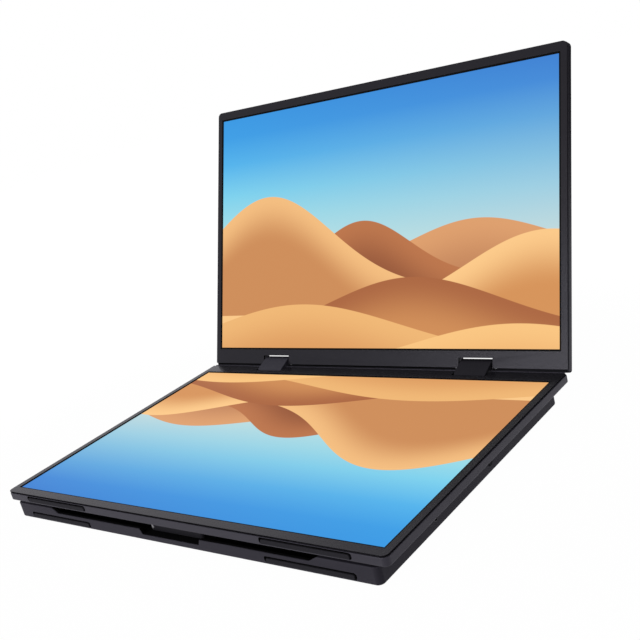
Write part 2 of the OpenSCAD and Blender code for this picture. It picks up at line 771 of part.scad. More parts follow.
// openings in the left and right walls
module side_holes() {
    left = -base_w / 2 + tray_wall / 2;
    right = base_w / 2 - tray_wall / 2;
    cut = tray_wall + 2 * past;
    for (i = [0, 1])
        block(cut, usb_w + 2 * port_gap, usb_h + 2 * port_gap,
              [left, port_y + i * socket_pitch, board_top - port_gap]);
    block(cut, hdmi_w + 2 * port_gap, hdmi_h + 2 * port_gap,
          [left, port_y + 2 * socket_pitch, board_top - port_gap]);
    rod_x(button_r + port_gap, cut, [left, power_y, button_z]);
    rod_x(button_r + port_gap, cut, [right, menu_y, button_z]);
    rod_x(jack_collar_r + port_gap, cut, [right, jack_y, jack_z]);
}

board_post_places = concat(
    [for (sx = sides, sy = sides)
        [board_left + board_w / 2 + sx * (board_w / 2 - 8), board_y + sy * (board_d / 2 - 6)]],
    [for (sy = sides) [side_board_right - side_board_w / 2, side_board_y + sy * (side_board_d / 2 - 6)]]);

module base_cover() {
    color("#2c2d31") difference() {
        union() {
            difference() {
                translate([0, 0, cover_under]) linear_extrude(cover_t)
                    plate2d(base_w - 2 * cover_inset - 2 * cover_gap, base_d - 2 * cover_inset - 2 * cover_gap,
                            base_corner - cover_inset - cover_gap);
                block(relief_pan_w + 2 * cover_gap, 2 * (relief_d + relief_skin + cover_gap), 3 * past,
                      [0, base_front, cover_under - past]);
                for (s = sides)
                    block(pocket_w, 2 * (base_rear - pocket_front), 3 * past,
                          [s * arm_x, base_rear, cover_under - past]);
            }
            at_places(post_places) translate([0, 0, cover_under - boss_h])
                cylinder(r = post_r, h = boss_h + cover_t / 2);
        }
        at_places(post_places) translate([0, 0, cover_under - boss_h - past])
            cylinder(r = screw_r, h = boss_h + past);
    }
}

stiffener_t = 1;
stiffener_w = 110;
stiffener_d = 70;
stiffener_x = 40;
stiffener_y = 35;

module base_stiffener() {
    color("#a7a9ac") 
        block(stiffener_w, stiffener_d, stiffener_t, [stiffener_x, stiffener_y, cover_under - stiffener_t]);
}

catch_h = base_t + base_gap - catch_gap - notch_z;
catch_y = base_front + catch_set + catch_d / 2;
magnet_pocket_h = 2.5;
magnet_bar_w = 36;
magnet_bar_d = 6;

module catch_block() {
    color("#303136") difference() {
        translate([0, catch_y, notch_z]) linear_extrude(catch_h) plate2d(catch_w, catch_d, catch_corner);
        block(magnet_bar_w + 2 * cover_gap, magnet_bar_d + 2 * cover_gap, magnet_pocket_h + past,
              [0, catch_y, notch_z - past]);
    }
}

module catch_magnet() {
    color("#b9bcc0") block(magnet_bar_w, magnet_bar_d, magnet_pocket_h, [0, catch_y, notch_z]);
}

module control_board() {
    color("#1f5c38") block(board_w, board_d, board_t, [board_left + board_w / 2, board_y, board_under]);
}

chip_places = [[50, -18, 14, 14, 1.4], [80, 12, 12, 12, 1.2], [104, -22, 10, 7, 1.2], [28, 26, 8, 6, 1],
               [120, 20, 9, 9, 2.6], [130, -8, 7, 7, 2.6]];

module board_chips() {
    color("#202022") for (c = chip_places)
        block(c[2], c[3], c[4], [board_left + c[0], board_y + c[1], board_top]);
}

socket_back = 1;
tongue_set = 1.2;
tongue_side = 1;
tongue_t = 0.7;

module socket(w, h, d) {
    mouth = -base_w / 2 + 0.3;
    difference() {
        block(d, w, h, [mouth + d / 2, 0, board_top]);
        block(d - socket_back, w - 2 * socket_shell, h - 2 * socket_shell,
              [mouth + d / 2 - socket_back, 0, board_top + socket_shell]);
    }
    block(d - tongue_set, w - 2 * socket_shell - 2 * tongue_side, tongue_t,
          [mouth + (d + tongue_set) / 2, 0, board_top + (h - tongue_t) / 2]);
}

module usb_sockets() {
    color("#b8babd") for (i = [0, 1]) translate([0, port_y + i * socket_pitch, 0]) socket(usb_w, usb_h, usb_d);
}

module hdmi_socket() {
    color("#b8babd") translate([0, port_y + 2 * socket_pitch, 0]) socket(hdmi_w, hdmi_h, hdmi_d);
}

module side_board() {
    color("#1f5c38")
        block(side_board_w, side_board_d, board_t,
              [side_board_right - side_board_w / 2, side_board_y, board_under]);
}

module audio_jack() {
    inner = base_w / 2 - tray_wall - 0.3;
    color("#1a1a1c") difference() {
        union() {
            block(jack_d, jack_h, jack_h, [inner - jack_d / 2, jack_y, board_top]);
            rod_x(jack_collar_r, tray_wall + 0.4, [base_w / 2 - tray_wall / 2 - 0.2, jack_y, jack_z]);
        }
        rod_x(jack_r, jack_d, [base_w / 2 - jack_d / 2 + past, jack_y, jack_z]);
    }
}

// push button: cap, flange behind the wall and plunger, pointing to +X from the wall's outer face
module push_button() {
    flange_t = 0.8;
    inner = -tray_wall - run_gap;
    rod_x(button_r, button_proud - inner + 0.1, [(button_proud + inner) / 2 - 0.05, 0, 0]);
    rod_x(button_r + button_flange, flange_t, [inner - flange_t / 2, 0, 0]);
}

button_back = tray_wall + run_gap + 0.8;
switch_x = button_back + button_travel + 0.1;

module menu_button() { color("#3a3a3e") translate([base_w / 2, menu_y, button_z]) push_button(); }
module power_button() {
    color("#3a3a3e") translate([-base_w / 2, power_y, button_z]) rotate([0, 0, 180]) push_button();
}

module button_switches() {
    color("#232326") {
        block(switch_w, switch_w, switch_w, [base_w / 2 - switch_x - switch_w / 2, menu_y, board_top]);
        block(switch_w, switch_w, switch_w, [-base_w / 2 + switch_x + switch_w / 2, power_y, board_top]);
    }
}

module speakers() {
    color("#1c1c1e") for (s = sides) translate([s * speaker_x, speaker_y, tray_floor]) difference() {
        translate([0, 0, 0]) linear_extrude(speaker_h) plate2d(speaker_w, speaker_d, 3);
        translate([0, 0, -past]) linear_extrude(1.2 + past) plate2d(speaker_w - 8, speaker_d - 5, 6);
    }
}

module base_feet() {
    color("#1d1d1f") for (s = sides) translate([s * foot_x, base_front - foot_proud, base_foot_z])
        foot_strip(foot_seat + foot_proud);
}

module underside_pads() {
    color("#1d1d1f") at_places(pad_places) linear_extrude(pad_t) plate2d(pad_w, pad_d, 2);
}

module top_bumpers() {
    color("#1d1d1f") at_places(bumper_places)
        translate([0, 0, base_t]) cylinder(r = bumper_r, h = base_gap - bumper_gap);
}

module base_screws() {
    color("#8f9094") at_places(post_places) {
        translate([0, 0, screw_sink]) cylinder(r = screw_head_r, h = screw_head_h);
        translate([0, 0, screw_sink]) cylinder(r = screw_r, h = cover_under - 1 - screw_sink);
    }
}

bracket_foot_w = 10;

module base_hinge_brackets() {
    foot_x0 = arm_ear_x + ear_t;
    color("#9a9ca0") for (s = sides) translate([s * arm_x, 0, 0]) difference() {
        for (t = sides) {
            translate([t * (arm_ear_x + ear_t / 2) - ear_t / 2, pocket_front, tray_floor])
                cube([ear_t, base_rear - tray_wall - pocket_front, cover_under - tray_floor - 0.3]);
            if (t != s)
                block(bracket_foot_w, base_rear - tray_wall - pocket_front, foot_t,
                      [t * (foot_x0 + bracket_foot_w / 2), (base_rear - tray_wall + pocket_front) / 2,
                       tray_floor]);
        }
        rod_x(arm_pin_r, 2 * (arm_ear_x + ear_t + past), [0, arm_y, arm_z]);
    }
}

module base_hinge_pins() {
    color("#c5c7ca") for (s = sides) rod_x(arm_pin_r, arm_pin_l, [s * arm_x, arm_y, arm_z]);
}

base_ribbon_run = 50;
base_ribbon_in = 20;
ribbon_tuck = 4;

module base_ribbon() {
    color("#b08040") block(ribbon_w, base_ribbon_run, ribbon_t,
        [board_left + board_w - base_ribbon_in, board_y + board_d / 2 - ribbon_tuck + base_ribbon_run / 2,
         tray_floor]);
}

base_tray();
base_cover();
base_stiffener();
catch_block();
catch_magnet();
control_board();
board_chips();
usb_sockets();
hdmi_socket();
side_board();
audio_jack();
button_switches();
menu_button();
power_button();
speakers();
base_feet();
underside_pads();
top_bumpers();
base_screws();
base_hinge_brackets();
base_hinge_pins();
base_ribbon();
lower_housing();
lower_bezel();
lower_display();
lower_backlight();
lower_frame();
lower_panel_board();
lower_ribbon();
lower_magnets();
lower_feet();
lower_hinge_brackets();
lower_hinge_pins();
lower_washers();
lower_bracket_screws();
base_hinge_arms();
arm_screws();
left_hinge_link();
right_hinge_link();
upper_housing();
upper_bezel();
upper_display();
upper_backlight();
upper_frame();
upper_panel_board();
upper_ribbon();
upper_magnets();
upper_feet();
upper_hinge_brackets();
upper_hinge_pins();
upper_washers();
upper_bracket_screws();
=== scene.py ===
import json
import math
import bmesh
import bpy
import numpy as np
from mathutils import Matrix, Vector


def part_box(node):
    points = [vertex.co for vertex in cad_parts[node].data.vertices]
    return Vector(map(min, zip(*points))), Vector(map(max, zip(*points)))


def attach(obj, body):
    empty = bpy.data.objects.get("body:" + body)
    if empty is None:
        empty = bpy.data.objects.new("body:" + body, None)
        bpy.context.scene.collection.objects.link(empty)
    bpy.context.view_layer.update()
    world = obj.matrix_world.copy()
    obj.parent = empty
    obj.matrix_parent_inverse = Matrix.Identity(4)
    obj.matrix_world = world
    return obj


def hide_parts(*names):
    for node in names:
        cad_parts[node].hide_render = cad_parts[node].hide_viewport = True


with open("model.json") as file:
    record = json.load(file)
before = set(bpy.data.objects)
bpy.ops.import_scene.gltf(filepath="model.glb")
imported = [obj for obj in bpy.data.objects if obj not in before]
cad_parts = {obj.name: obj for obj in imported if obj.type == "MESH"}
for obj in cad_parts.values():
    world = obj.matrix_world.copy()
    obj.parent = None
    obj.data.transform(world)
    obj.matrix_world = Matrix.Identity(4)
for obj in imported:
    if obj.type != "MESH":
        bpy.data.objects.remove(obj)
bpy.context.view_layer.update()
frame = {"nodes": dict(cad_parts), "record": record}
nodes = frame["nodes"]
record = frame["record"]
slotOf = {part["node"]: part["material_slot"] for part in record["subparts"]}
bodyOf = {node: body for body, group in record["behaviour"]["bodies"].items() for node in group}
joints = {joint["name"]: joint for joint in record["behaviour"]["joints"]}
print("frame loaded:", len(nodes), "nodes")

scene = bpy.context.scene
scene.view_settings.view_transform = "Standard"

camera = {
    "place": (0.48284, -0.46152, 0.29065),
    "right": (0.77081, 0.58727, -0.24692),
    "forward": (-0.63690, 0.71917, -0.27775),
    "lens": 54.273,      # lens and sensor in millimetres
    "sensor": 36.0,
    "near": 0.01,        # nothing nearer or farther than these is drawn, in metres
    "far": 50.0,
}


def placeCamera():
    forward = Vector(camera["forward"]).normalized()
    right = Vector(camera["right"])
    right = (right - forward * right.dot(forward)).normalized()
    data = bpy.data.cameras.new("camera")
    data.lens = camera["lens"]
    data.sensor_width = camera["sensor"]
    data.clip_start = camera["near"]
    data.clip_end = camera["far"]
    obj = bpy.data.objects.new("camera", data)
    turn = Matrix((right, right.cross(forward), -forward)).transposed().to_4x4()
    obj.matrix_world = Matrix.Translation(Vector(camera["place"])) @ turn
    scene.collection.objects.link(obj)
    scene.camera = obj


placeCamera()
print("camera placed")


class Sock:
    # wraps an output socket, so that node maths reads as plain expressions
    def __init__(self, tree, socket):
        self.tree = tree
        self.socket = socket

    def maths(self, operation, *values):
        return self.tree.node("ShaderNodeMath", {"operation": operation}, dict(enumerate(values)))

    def __add__(self, other):
        return self.maths("ADD", self, other)

    def __radd__(self, other):
        return self.maths("ADD", other, self)

    def __sub__(self, other):
        return self.maths("SUBTRACT", self, other)

    def __rsub__(self, other):
        return self.maths("SUBTRACT", other, self)

    def __mul__(self, other):
        return self.maths("MULTIPLY", self, other)

    def __rmul__(self, other):
        return self.maths("MULTIPLY", other, self)

    def __truediv__(self, other):
        return self.maths("DIVIDE", self, other)

    def __rtruediv__(self, other):
        return self.maths("DIVIDE", other, self)

    def __gt__(self, other):
        return self.maths("GREATER_THAN", self, other)

    def __lt__(self, other):
        return self.maths("LESS_THAN", self, other)

    def sine(self):
        return self.maths("SINE", self)

    def exponent(self):
        return self.maths("EXPONENT", self)

    def size(self):
        return self.maths("ABSOLUTE", self)

    def lowest(self, other):
        return self.maths("MINIMUM", self, other)

    def highest(self, other):
        return self.maths("MAXIMUM", self, other)

    def clamp(self):
        return self.highest(0.0).lowest(1.0)

    def step(self, low, high):
        # smooth step from 0 at low to 1 at high
        return self.tree.node("ShaderNodeMapRange", {"interpolation_type": "SMOOTHSTEP"},
                              {"Value": self, "From Min": low, "From Max": high})


class Tree:
    # the nodes of one material, or those of the world where it is given
    def __init__(self, name, world=None):
        self.owner = world or bpy.data.materials.new(name)
        self.owner.use_nodes = True
        self.nodes = self.owner.node_tree.nodes
        self.links = self.owner.node_tree.links
        self.nodes.clear()
        self.end = self.nodes.new("ShaderNodeOutputWorld" if world else "ShaderNodeOutputMaterial")

    def node(self, kind, settings=None, inputs=None, output=0):
        # settings come first, then the sockets' values or links, and several outputs come back as a list
        made = self.nodes.new(kind)
        for key, value in (settings or {}).items():
            if key == "stops":
                self.setStops(made.color_ramp.elements, value)
            else:
                setattr(made, key, value)
        for key, value in (inputs or {}).items():
            self.feed(made.inputs[key], value)
        if isinstance(output, tuple):
            return [Sock(self, made.outputs[each]) for each in output]
        return Sock(self, made.outputs[output])

    def setStops(self, elements, stops):
        while len(elements) < len(stops):
            elements.new(0.5)
        for element, (place, colour) in zip(elements, stops):
            element.position = place
            element.color = (*colour, 1.0)

    def feed(self, socket, value):
        if isinstance(value, Sock):
            self.links.new(value.socket, socket)
        elif hasattr(socket.default_value, "__len__"):
            value = tuple(value)
            socket.default_value = value if len(value) == len(socket.default_value) else (*value, 1.0)
        else:
            socket.default_value = value

    def place(self):
        return self.node("ShaderNodeTexCoord", output="Object")

    def split(self, vector):
        return self.node("ShaderNodeSeparateXYZ", None, {0: vector}, output=(0, 1, 2))

    def vectorMaths(self, operation, *values, output="Value"):
        return self.node("ShaderNodeVectorMath", {"operation": operation}, dict(enumerate(values)), output)

    def noise(self, vector, scale, detail, rough):
        return self.node("ShaderNodeTexNoise", None,
                         {"Vector": vector, "Scale": scale, "Detail": detail, "Roughness": rough})

    def blendColour(self, factor, a, b):
        return self.node("ShaderNodeMix", {"data_type": "RGBA"}, {"Factor": factor, 6: a, 7: b}, output=2)

    def bump(self, height, distance, strength):
        inputs = {"Height": height, "Distance": distance, "Strength": strength}
        return self.node("ShaderNodeBump", None, inputs)

    def close(self, shader):
        self.links.new(shader.socket, self.end.inputs["Surface"])
        return self.owner

    def surface(self, inputs):
        return self.close(self.node("ShaderNodeBsdfPrincipled", None, inputs))


def grey(value):
    return (value, value, value)


def times(colour, factor):
    return tuple(min(1.0, c * factor) for c in colour)


def linear(colour):
    # screen colour, 0 to 255 for each channel, as the linear colour that shaders take, by the sRGB curve
    return tuple(((c / 255 + 0.055) / 1.055) ** 2.4 if c > 10 else c / 255 / 12.92 for c in colour)


def within(value, low, high):
    return (value > low) * (value < high)


mergeDistance = 2e-6      # corners nearer than this are one, in metres


def mergedCopy(name):
    # a CAD node's mesh is loose triangles, and this joins a copy of them
    made = bmesh.new()
    made.from_mesh(nodes[name].data)
    bmesh.ops.remove_doubles(made, verts=made.verts, dist=mergeDistance)
    return made


def solidBoxes(name):
    # low and high corner of each solid of a node, found by walking from corner to corner along its edges
    made = mergedCopy(name)
    left = set(made.verts)
    boxes = []
    while left:
        group = [left.pop()]
        for vert in group:      # the group grows while it is walked
            joined = {edge.other_vert(vert) for edge in vert.link_edges} & left
            left -= joined
            group += joined
        corners = np.array([vert.co for vert in group])
        boxes.append((corners.min(axis=0), corners.max(axis=0)))
    made.free()
    return sorted(boxes, key=lambda box: tuple(box[0]))


def solidMiddles(name):
    return [(low + high) / 2 for low, high in solidBoxes(name)]


# where the two screens sit: both hinge joints close the lid at their low limits, so the sum of those limits
# says how far it stands open at rest
linkPin = Vector(joints["link_turn"]["pos_m"])
lidPin = Vector(joints["lid_turn"]["pos_m"])
openAngle = -sum(joints[name]["range_deg"][0] for name in ("link_turn", "lid_turn"))
tilt = math.radians(180.0 - openAngle)
lidUp = Vector((0.0, math.cos(tilt), math.sin(tilt)))       # along the upper screen, away from its hinge
lidOut = Vector((0.0, -math.sin(tilt), math.cos(tilt)))     # out of the upper screen's face

# one screen, in distances from its pin axis and in heights from its middle
unit = {
    "farEdge": linkPin.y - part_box("lower_housing")[0].y,       # the edge with the rubber strips
    "hingeEdge": linkPin.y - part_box("lower_housing")[1].y,
    "lip": 0.0012,           # thickness of the lip along the hinge edge
    "lipShade": 0.6,         # how dark the painted shade on the upper housing's lip is, close above the lower screen
    "gapLow": 0.00229,       # the faces of the shadow gap that get painted shade
    "gapHigh": 0.00335,
    "gapLight": 0.35,        # how much painted light lifts the gap's painted shade at its right end
    "lightFrom": 0.06,       # that painted light grows between these places across the screen
    "lightTo": 0.17,
    "rimLow": 0.00362,       # the painted shade on the bezel's cut edge reaches up to here
    "pocketLow": -0.00254,   # painted shade on the walls of the strip pockets
    "pocketHigh": 0.00204,
}

# painted shade in the pockets round the rubber strips of the screens and of the base
strip = {
    "middle": solidMiddles("lower_feet")[-1][0],
    "reach": 0.0369,         # half the length of the painted shade
    "shallow": 0.00022,      # the painted shade lies on the walls between these depths behind the front face
    "deep": 0.0011,
}


def unitPlace(t, side):
    # place on one screen: across, away from the hinge, and out of its face, all from its pin axis
    x, y, z = t.split(t.place())
    if side == "lower":
        return x, linkPin.y - y, z - linkPin.z
    y = y - lidPin.y
    z = z - lidPin.z
    return x, y * lidUp.y + z * lidUp.z, y * lidOut.y + z * lidOut.z


def stripPocket(x, depth, height):
    # painted shade on the walls of the two strip pockets, a little way in from the front face
    across = (x.size() - strip["middle"]).size() < strip["reach"]
    return across * within(depth, strip["shallow"], strip["deep"]) * height


def paintedShadeOfHousing(side):
    # painted shade on the faces of a housing in the shadow gap and the strip pockets, and on the upper
    # housing's lip, lifted by painted light at the gap's right end
    def mask(t):
        x, y, z = unitPlace(t, side)
        lipEnd = unit["hingeEdge"] + unit["lip"]
        # painted light: the gap's painted shade is lifted towards its right end
        light = x.step(unit["lightFrom"], unit["lightTo"]) * unit["gapLight"]
        gap = within(z, unit["gapLow"], unit["gapHigh"]) * (y > lipEnd)
        pocket = stripPocket(x, unit["farEdge"] - y, within(z, unit["pocketLow"], unit["pocketHigh"]))
        shade = (y < lipEnd) * unit["lipShade"] if side == "upper" else 0.0
        return (gap * (1.0 - light) + pocket + shade).clamp()
    return mask


def paintedShadeOfBezel(side):
    # painted shade on the bezel's cut edge, below its bright upper rim
    def mask(t):
        return unitPlace(t, side)[2] < unit["rimLow"]
    return mask


# painted shade on the base's front, in depths behind its front face and in heights above the table
base = {
    "front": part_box("base_tray")[0].y,
    "rimFrom": 0.0006,       # from here on the rim's top gets painted shade
    "pocketEnd": 0.0262,
    "pocketHalf": 0.1285,
    "pocketLow": 0.00426,
    "pocketHigh": 0.0119,
    "stripLow": 0.00141,
    "stripHigh": 0.00599,
}


def paintedShadeOfBase(t):
    # painted shade on the deep front pocket with the rim's top, and on the strip pockets
    x, y, z = t.split(t.place())
    depth = y - base["front"]
    pocket = (within(depth, base["rimFrom"], base["pocketEnd"])
              * within(z, base["pocketLow"], base["pocketHigh"]) * (x.size() < base["pocketHalf"]))
    return (pocket + stripPocket(x, depth, within(z, base["stripLow"], base["stripHigh"]))).clamp()


plastic = {
    "fine": (5200.0, 2.0, 0.6),      # scale, detail and roughness of the spark-eroded texture
    "slow": (38.0, 2.0, 0.5),        # the same of the slow change over a piece
    "fineTone": 0.12,
    "slowTone": 0.16,
    "toneReach": 0.28,       # the darkest and lightest tone, as a part of the colour
    "fineSheen": 0.12,
    "slowSheen": 0.1,
    "grain": 0.00006,        # height of the texture, in metres
    "grainStrength": 0.5,
    "bend": 1.46,            # index of refraction
    "tint": (0.90, 0.88, 1.0),       # cool tint of the sheen
    "paintedShadeGrey": 0.006,     # colour of the painted shade on a face hidden in a gap
}
# a painted highlight on the catch block's left corner
paintedHighlight = {
    "from": (0.002, 0.0003, 0.0032),     # from the catch block's low left corner
    "reach": 0.0023,
    "solid": 0.35,           # part of the reach that is bright all over
    "colour": linear((170, 168, 173)),
}


def mouldedPlastic(name, colour, rough, level=0.5, dark=None, highlightAt=None):
    # fine spark-eroded texture with a slow change in tone and sheen
    t = Tree(name)
    at = t.place()
    fine = t.noise(at, *plastic["fine"])
    slow = t.noise(at, *plastic["slow"])
    tone = (fine - 0.5) * plastic["fineTone"] + (slow - 0.5) * plastic["slowTone"] + 0.5
    sheen = (fine - 0.5) * plastic["fineSheen"] + (slow - 0.5) * plastic["slowSheen"] + rough
    shown = t.blendColour(tone.clamp(), times(colour, 1.0 - plastic["toneReach"]),
                          times(colour, 1.0 + plastic["toneReach"]))
    inputs = {"Roughness": sheen, "Normal": t.bump(fine, plastic["grain"], plastic["grainStrength"]),
              "IOR": plastic["bend"], "Specular IOR Level": level, "Specular Tint": plastic["tint"]}
    if dark is not None:
        # painted shade on hidden faces: black, and metallic so that its sheen is black too
        paintedShade = dark(t)
        shown = t.blendColour(paintedShade, shown, grey(plastic["paintedShadeGrey"]))
        inputs["Metallic"] = paintedShade
        inputs["Roughness"] = sheen + paintedShade * (1.0 - rough)
    if highlightAt is not None:
        # a painted highlight on a corner
        bright = paintedHighlight["reach"] * paintedHighlight["solid"]
        away = t.vectorMaths("DISTANCE", at, highlightAt).step(bright, paintedHighlight["reach"])
        shown = t.blendColour(1.0 - away, shown, paintedHighlight["colour"])
    inputs["Base Color"] = shown
    return t.surface(inputs)


rubber = {
    "fine": (9000.0, 3.0, 0.7),      # scale, detail and roughness of the fine texture
    "dust": (420.0, 3.0, 0.6),       # the same of the dust on it
    "dustFrom": 0.55,
    "dustTo": 0.8,
    "dustShare": 0.35,
    "dustLight": 1.8,
    "sheenReach": 0.2,
    "grain": 0.00005,        # height of the texture, in metres
    "grainStrength": 0.6,
    "level": 0.25,
}


def softRubber(name, colour, rough):
    # matte with a fine texture and a little dust
    t = Tree(name)
    at = t.place()
    fine = t.noise(at, *rubber["fine"])
    dust = t.noise(at, *rubber["dust"]).step(rubber["dustFrom"], rubber["dustTo"]) * rubber["dustShare"]
    return t.surface({"Base Color": t.blendColour(dust, colour, times(colour, rubber["dustLight"])),
                      "Roughness": (fine - 0.5) * rubber["sheenReach"] + rough,
                      "Normal": t.bump(fine, rubber["grain"], rubber["grainStrength"]),
                      "Specular IOR Level": rubber["level"], "Specular Tint": plastic["tint"]})


metal = {
    "stretch": (1.0, 60.0, 60.0),        # the brushed lines run across the set
    "lines": (260.0, 3.0, 0.6),          # scale, detail and roughness of their noise
    "darkLine": 0.85,
    "paleLine": 1.1,
    "sheenReach": 0.2,
    "grain": 0.00001,        # depth of the lines, in metres
    "grainStrength": 0.4,
}


def brushedMetal(name, colour, rough):
    # long thin lines, each a little darker or paler
    t = Tree(name)
    at = t.node("ShaderNodeMapping", None, {"Vector": t.place(), "Scale": metal["stretch"]})
    lines = t.noise(at, *metal["lines"])
    shown = t.blendColour(lines, times(colour, metal["darkLine"]), times(colour, metal["paleLine"]))
    return t.surface({"Base Color": shown, "Metallic": 1.0,
                      "Roughness": (lines - 0.5) * metal["sheenReach"] + rough,
                      "Normal": t.bump(lines, metal["grain"], metal["grainStrength"])})


# lines and pads: how often they come, in radians in a metre, how narrow they are and how soft their edges
board = {
    "linesAlong": (900.0, 0.93, 0.03),
    "linesAcross": (760.0, 0.94, 0.03),
    "pads": (520.0, 0.96, 0.01),
    "fields": (60.0, 1.0, 0.5),          # noise of the fields in which the lines run one way
    "fieldFrom": 0.48,
    "fieldTo": 0.52,
    "mask": (0.012, 0.09, 0.04),
    "copper": (0.03, 0.19, 0.08),
    "tin": (0.6, 0.6, 0.58),
    "rough": 0.5,
    "tinPolish": 0.2,
    "grain": 0.00003,        # height of the copper, in metres
    "grainStrength": 0.6,
}


def stripes(place, often, narrow, soft):
    # 1 where the sine of the place times often comes near 1 or -1
    return ((place * often).sine().size() - narrow).step(0.0, soft)


def circuitBoard(name):
    # green mask over thin copper lines, with tinned pads on a grid
    t = Tree(name)
    x, y = t.split(t.place())[:2]
    flat = t.node("ShaderNodeCombineXYZ", None, {0: x, 1: y})
    field = t.noise(flat, *board["fields"]).step(board["fieldFrom"], board["fieldTo"])
    lines = stripes(x, *board["linesAlong"]) * field + stripes(y, *board["linesAcross"]) * (1.0 - field)
    pads = stripes(x, *board["pads"]) * stripes(y, *board["pads"])
    shown = t.blendColour(lines.clamp(), board["mask"], board["copper"])
    return t.surface({"Base Color": t.blendColour(pads, shown, board["tin"]), "Metallic": pads,
                      "Roughness": board["rough"] - pads * board["tinPolish"],
                      "Normal": t.bump(lines + pads, board["grain"], board["grainStrength"])})


dotted = {"often": 2400.0, "from": 0.2, "to": 0.6, "sheet": grey(0.78), "dot": grey(0.9), "rough": 0.25}


def lightSheet(name):
    # a pale sheet with printed dots
    t = Tree(name)
    x, y = t.split(t.place())[:2]
    dots = ((x * dotted["often"]).sine() * (y * dotted["often"]).sine()).step(dotted["from"], dotted["to"])
    return t.surface({"Base Color": t.blendColour(dots, dotted["sheet"], dotted["dot"]),
                      "Roughness": dotted["rough"]})


film = {"often": 6000.0, "soft": 0.4, "amber": (0.22, 0.1, 0.02), "track": (0.62, 0.3, 0.09), "rough": 0.35}


def ribbonFilm(name):
    # amber film over fine copper tracks
    t = Tree(name)
    x = t.split(t.place())[0]
    tracks = (x * film["often"]).sine().step(0.0, film["soft"])
    return t.surface({"Base Color": t.blendColour(tracks, film["amber"], film["track"]),
                      "Roughness": film["rough"]})


port = {
    "usb_sockets": (0.0031, -0.1646),        # half the tongue's width, and where its rear end lies
    "hdmi_socket": (0.00425, -0.1641),
    "tongueHalf": 0.00037,   # the black tongue, up to just above its faces
    "giltFrom": 0.0003,      # the gilt contacts lie above this height on it
    "giltFront": -0.1692,    # and behind its front edge
    "giltWide": 0.1,         # sine above which a contact shows
    "pitch": 0.0005,
    "wear": (900.0, 3.0, 0.6),       # noise of the nickel's wear
    "nickelDark": grey(0.48),
    "nickelPale": grey(0.66),
    "black": grey(0.012),
    "gilt": (0.75, 0.5, 0.17),
    "rough": 0.2,
    "wearReach": 0.2,
    "tongueRough": 0.25,
    "giltPolish": 0.2,
}


def socketPort(name, piece):
    # nickel shell round a black tongue with gilt contacts, for each socket of the piece
    t = Tree(name)
    x, y, z = t.split(t.place())
    half, back = port[piece]
    middles = solidMiddles(piece)
    away = (y - middles[0][1]).size()
    for middle in middles[1:]:
        away = away.lowest((y - middle[1]).size())
    height = (z - middles[0][2]).size()
    tongue = (away < half) * (height < port["tongueHalf"]) * (x < back)
    contacts = (y * (math.tau / port["pitch"])).sine() > port["giltWide"]
    gilt = tongue * (height > port["giltFrom"]) * contacts * (x > port["giltFront"])
    wear = t.noise(t.place(), *port["wear"])
    shown = t.blendColour(wear, port["nickelDark"], port["nickelPale"])
    shown = t.blendColour(tongue, shown, port["black"])
    rough = wear * port["wearReach"] + port["rough"]
    rough = rough + tongue * port["tongueRough"] - gilt * port["giltPolish"]
    return t.surface({"Base Color": t.blendColour(gilt, shown, port["gilt"]),
                      "Metallic": (1.0 - tongue + gilt).clamp(), "Roughness": rough})


# the lit pictures: a plain sky over overlapping rounded hills in flat bands
picture = {
    "wide": 0.3447,
    "high": 0.2154,
    "hingeGap": 0.0146,      # from the pin axis to the picture's hinge edge
    "face": 0.0028,          # only what lies this far out of the screen's middle is lit
    "light": 1.0,
    "fadeDown": 0.2,         # a hill turns to the colour of its foot over this height
    "hillSoft": 0.0025,      # softness of a hill's edge
    "border": grey(0.002),
    "glass": grey(0.004),
    "rough": 0.5,
    "level": 0.02,
}

# colours of the sky by height, at the picture's left side and at its right side
skyLeft = [
    (0.40, (182, 228, 230)),
    (0.56, (153, 219, 233)),
    (0.66, (126, 210, 238)),
    (0.80, (84, 180, 236)),
    (0.92, (62, 159, 230)),
    (1.00, (58, 154, 228)),
]
skyRight = [
    (0.40, (192, 218, 222)),
    (0.56, (158, 206, 226)),
    (0.66, (134, 192, 224)),
    (0.80, (98, 166, 221)),
    (0.92, (70, 139, 216)),
    (1.00, (64, 130, 211)),
]

# each hill: middle and half width of its crest as parts of the picture's width, the height of its foot and
# its rise as parts of the picture's height, and its colours at the crest and at the foot
hills = [
    {"middle": 0.30, "wide": 0.26, "base": 0.30, "rise": 0.17,
     "top": (222, 160, 110), "foot": (196, 134, 92)},
    {"middle": -0.02, "wide": 0.20, "base": 0.26, "rise": 0.24,
     "top": (188, 118, 76), "foot": (150, 88, 58)},
    {"middle": -0.33, "wide": 0.30, "base": 0.22, "rise": 0.42,
     "top": (244, 190, 128), "foot": (206, 142, 90)},
    {"middle": 0.47, "wide": 0.28, "base": 0.14, "rise": 0.27,
     "top": (252, 202, 138), "foot": (214, 148, 90)},
    {"middle": 0.12, "wide": 0.34, "base": 0.05, "rise": 0.22,
     "top": (172, 104, 66), "foot": (208, 142, 88)},
    {"middle": -0.22, "wide": 0.44, "base": -0.04, "rise": 0.22,
     "top": (240, 184, 118), "foot": (222, 158, 98)},
    {"middle": 0.40, "wide": 0.40, "base": -0.10, "rise": 0.19,
     "top": (250, 198, 130), "foot": (232, 168, 104)},
]


def skySide(t, side, v):
    stops = [(place, linear(colour)) for place, colour in side]
    return t.node("ShaderNodeValToRGB", {"stops": stops}, {"Fac": v})


def hillOver(t, shown, u, v, hill):
    # a bell-shaped crest, its colour running down from the crest
    off = (u - hill["middle"]) / hill["wide"]
    crest = (off * off * -1.0).exponent() * hill["rise"] + hill["base"]
    under = crest - v
    body = t.blendColour(under.step(0.0, picture["fadeDown"]), linear(hill["top"]), linear(hill["foot"]))
    return t.blendColour(under.step(0.0, picture["hillSoft"]), shown, body)


